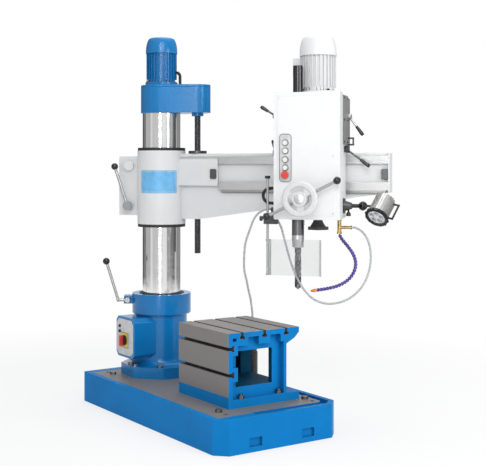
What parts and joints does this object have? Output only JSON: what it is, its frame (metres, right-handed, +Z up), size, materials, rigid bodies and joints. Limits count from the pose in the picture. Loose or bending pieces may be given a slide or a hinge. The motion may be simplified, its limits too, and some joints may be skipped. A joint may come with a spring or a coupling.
{
  "type": "radial arm drill",
  "caption": "Radial arm drill with a round column on a cast base, a lifted swinging arm, a sliding drilling head with feed levers, a T-slot box table, lamp and coolant hoses.",
  "frame": {"origin": "column axis at the floor, on the base's underside", "axes": "+Z up along the column, +X along the base towards its front end, the arm at rest turned 40 degrees from +X"},
  "size_m": [1.3919, 1.2026, 2.009],
  "materials": {
    "machine_blue": "semi-gloss machine enamel",
    "paint_white": "semi-gloss off-white enamel",
    "cast_grey": "grey enamel over a machined casting",
    "bare_iron": "planed and ground iron",
    "column_chrome": "ground and polished",
    "steel": "machined",
    "dark_steel": "blackened",
    "black_plastic": "moulded",
    "black_rubber": "matt",
    "plate_blue": "printed plate, left bare",
    "button_white": "moulded",
    "button_red": "moulded",
    "brass": "turned",
    "hose_purple": "moulded segments",
    "hose_clear": "flexible clear tube",
    "clear_sheet": "clear sheet",
    "lamp_silver": "cast, with fins",
    "switch_red": "moulded"
  },
  "bodies": {
    "base": {"base_plate": "machine_blue", "base_bolts": "steel", "pedestal": "machine_blue", "switch_box": "machine_blue", "inner_pillar": "steel", "column_bearings": "steel", "clamp_ring": "machine_blue", "box_table": "machine_blue", "coolant_pump": "black_plastic", "hose_lower": "hose_clear"},
    "switch_knob": {"switch_knob": "switch_red"},
    "column_lever": {"column_lever": "steel"},
    "column": {"column_tube": "column_chrome", "lift_gear_case": "machine_blue", "lift_case_cover": "machine_blue", "lift_motor": "machine_blue", "lift_fan_cover": "machine_blue", "hose_mid": "hose_clear"},
    "lift_rotor": {"lift_rotor": "steel"},
    "idler_gear": {"idler_gear": "steel"},
    "lead_screw": {"lead_screw": "dark_steel"},
    "arm": {"arm_casting": "paint_white", "wiper_rings": "black_rubber", "lift_nut": "dark_steel", "arm_stops": "dark_steel", "name_plate": "plate_blue", "traverse_rack": "dark_steel"},
    "arm_lever": {"arm_lever": "steel"},
    "head": {"head_housing": "paint_white", "front_panel": "paint_white", "rear_gearbox": "cast_grey", "main_motor": "paint_white", "main_fan_cover": "paint_white", "spindle_tube": "black_plastic", "guard_bracket": "black_plastic", "coolant_tee": "brass", "jointed_hose": "hose_purple", "hose_upper": "hose_clear", "lamp_bracket": "cast_grey"},
    "main_rotor": {"main_rotor": "steel"},
    "drive_sleeve": {"drive_sleeve": "steel"},
    "button_1": {"button_1": "button_white"},
    "button_2": {"button_2": "button_white"},
    "button_3": {"button_3": "button_white"},
    "button_4": {"button_4": "button_white"},
    "stop_button": {"stop_button": "button_red"},
    "handwheel": {"handwheel": "steel"},
    "feed_levers": {"feed_levers": "steel"},
    "quill": {"quill": "steel"},
    "spindle": {"spindle": "steel", "drill_bit": "dark_steel"},
    "hand_knob": {"hand_knob": "black_plastic"},
    "speed_lever": {"speed_lever": "steel"},
    "feed_select_lever": {"feed_select_lever": "dark_steel"},
    "range_lever": {"range_lever": "dark_steel"},
    "lock_lever": {"lock_lever": "dark_steel"},
    "guard_rod": {"guard_rod": "steel"},
    "guard_sheet": {"guard_sheet": "clear_sheet"},
    "lamp_arm": {"lamp_arm": "black_plastic"},
    "lamp_head": {"lamp_head": "lamp_silver"}
  },
  "joints": [
    {"name": "column_swing", "type": "hinge", "parent": "base", "child": "column", "pos_m": [0, 0, 0.6], "axis": [0, 0, 1], "range_deg": [-220, 140], "deforming": ["hose_lower"]},
    {"name": "arm_lift", "type": "slide", "parent": "column", "child": "arm", "axis": [0, 0, 1], "range_m": [-0.2, 0.17], "deforming": ["hose_mid"]},
    {"name": "lead_screw_spin", "type": "hinge", "parent": "column", "child": "lead_screw", "pos_m": [0.16087, 0.13499, 1.6], "axis": [0, 0, 1], "continuous": true},
    {"name": "idler_spin", "type": "hinge", "parent": "column", "child": "idler_gear", "pos_m": [0.07814, 0.06556, 1.65], "axis": [0, 0, 1], "continuous": true},
    {"name": "lift_motor_spin", "type": "hinge", "parent": "column", "child": "lift_rotor", "pos_m": [0, 0, 1.8], "axis": [0, 0, 1], "continuous": true},
    {"name": "head_traverse", "type": "slide", "parent": "arm", "child": "head", "axis": [0.766, 0.6428, 0], "range_m": [-0.26, 0.19], "deforming": ["hose_upper"]},
    {"name": "handwheel_turn", "type": "hinge", "parent": "head", "child": "handwheel", "pos_m": [0.87462, 0.34227, 1.14], "axis": [0.6428, -0.766, 0], "continuous": true},
    {"name": "quill_feed", "type": "slide", "parent": "head", "child": "quill", "axis": [0, 0, -1], "range_m": [-0.08, 0.12]},
    {"name": "feed_turn", "type": "hinge", "parent": "head", "child": "feed_levers", "pos_m": [0.87462, 0.34227, 1.14], "axis": [0.6428, -0.766, 0], "range_deg": [-200, 260]},
    {"name": "spindle_spin", "type": "hinge", "parent": "quill", "child": "spindle", "pos_m": [0.78534, 0.35221, 1], "axis": [0, 0, 1], "continuous": true},
    {"name": "drive_sleeve_spin", "type": "hinge", "parent": "head", "child": "drive_sleeve", "pos_m": [0.78534, 0.35221, 1.55], "axis": [0, 0, 1], "continuous": true},
    {"name": "main_motor_spin", "type": "hinge", "parent": "head", "child": "main_rotor", "pos_m": [0.78295, 0.48419, 1.7], "axis": [0, 0, 1], "continuous": true},
    {"name": "hand_knob_turn", "type": "hinge", "parent": "head", "child": "hand_knob", "pos_m": [0.86899, 0.41587, 1.03], "axis": [0, 0, 1], "continuous": true},
    {"name": "speed_select", "type": "hinge", "parent": "head", "child": "speed_lever", "pos_m": [0.80131, 0.66455, 1.559], "axis": [0.766, 0.6428, 0], "range_deg": [-45, 45]},
    {"name": "feed_select", "type": "hinge", "parent": "head", "child": "feed_select_lever", "pos_m": [0.8555, 0.59997, 1.389], "axis": [0.766, 0.6428, 0], "range_deg": [-25, 15]},
    {"name": "range_select", "type": "hinge", "parent": "head", "child": "range_lever", "pos_m": [0.75818, 0.24456, 1.555], "axis": [0.766, 0.6428, 0], "range_deg": [-45, 45]},
    {"name": "head_lock", "type": "hinge", "parent": "head", "child": "lock_lever", "pos_m": [0.75818, 0.24456, 1.37], "axis": [0.766, 0.6428, 0], "range_deg": [-60, 30]},
    {"name": "arm_clamp", "type": "hinge", "parent": "arm", "child": "arm_lever", "pos_m": [-0.086, -0.16354, 1.083], "axis": [0.6428, -0.766, 0], "range_deg": [-8, 25]},
    {"name": "column_clamp", "type": "hinge", "parent": "base", "child": "column_lever", "pos_m": [-0.10261, -0.15213, 0.567], "axis": [0.829, -0.5592, 0], "range_deg": [-20, 25]},
    {"name": "main_switch", "type": "hinge", "parent": "base", "child": "switch_knob", "pos_m": [0, -0.23, 0.35974], "axis": [0, -1, 0], "range_deg": [-90, 0]},
    {"name": "guard_height", "type": "slide", "parent": "head", "child": "guard_rod", "axis": [0, 0, 1], "range_m": [-0.05, 0.06]},
    {"name": "guard_swing", "type": "hinge", "parent": "guard_rod", "child": "guard_sheet", "pos_m": [0.71758, 0.2105, 0.84], "axis": [0, 0, 1], "range_deg": [-100, 0]},
    {"name": "lamp_roll", "type": "hinge", "parent": "head", "child": "lamp_arm", "pos_m": [0.94013, 0.58, 1.098], "axis": [0.766, 0.6428, 0], "range_deg": [-60, 60]},
    {"name": "lamp_turn", "type": "hinge", "parent": "lamp_arm", "child": "lamp_head", "pos_m": [0.98303, 0.616, 1.098], "axis": [0, 0, 1], "range_deg": [-60, 10]},
    {"name": "button_1_press", "type": "slide", "parent": "head", "child": "button_1", "axis": [-0.6428, 0.766, 0], "range_m": [0, 0.004], "stiffness_N_per_m": 700},
    {"name": "button_2_press", "type": "slide", "parent": "head", "child": "button_2", "axis": [-0.6428, 0.766, 0], "range_m": [0, 0.004], "stiffness_N_per_m": 700},
    {"name": "button_3_press", "type": "slide", "parent": "head", "child": "button_3", "axis": [-0.6428, 0.766, 0], "range_m": [0, 0.004], "stiffness_N_per_m": 700},
    {"name": "button_4_press", "type": "slide", "parent": "head", "child": "button_4", "axis": [-0.6428, 0.766, 0], "range_m": [0, 0.004], "stiffness_N_per_m": 700},
    {"name": "stop_button_press", "type": "slide", "parent": "head", "child": "stop_button", "axis": [-0.6428, 0.766, 0], "range_m": [0, 0.004], "stiffness_N_per_m": 700}
  ],
  "couplings": [
    {"joint": "lead_screw_spin", "follows": "arm_lift", "rad_per_m": -523.6},
    {"joint": "idler_spin", "follows": "arm_lift", "rad_per_m": 523.6},
    {"joint": "lift_motor_spin", "follows": "arm_lift", "rad_per_m": -589.05},
    {"joint": "handwheel_turn", "follows": "head_traverse", "rad_per_m": 50},
    {"joint": "feed_turn", "follows": "quill_feed", "rad_per_m": 33.333},
    {"joint": "drive_sleeve_spin", "follows": "spindle_spin", "ratio": 1},
    {"joint": "main_motor_spin", "follows": "spindle_spin", "ratio": -1}
  ]
}
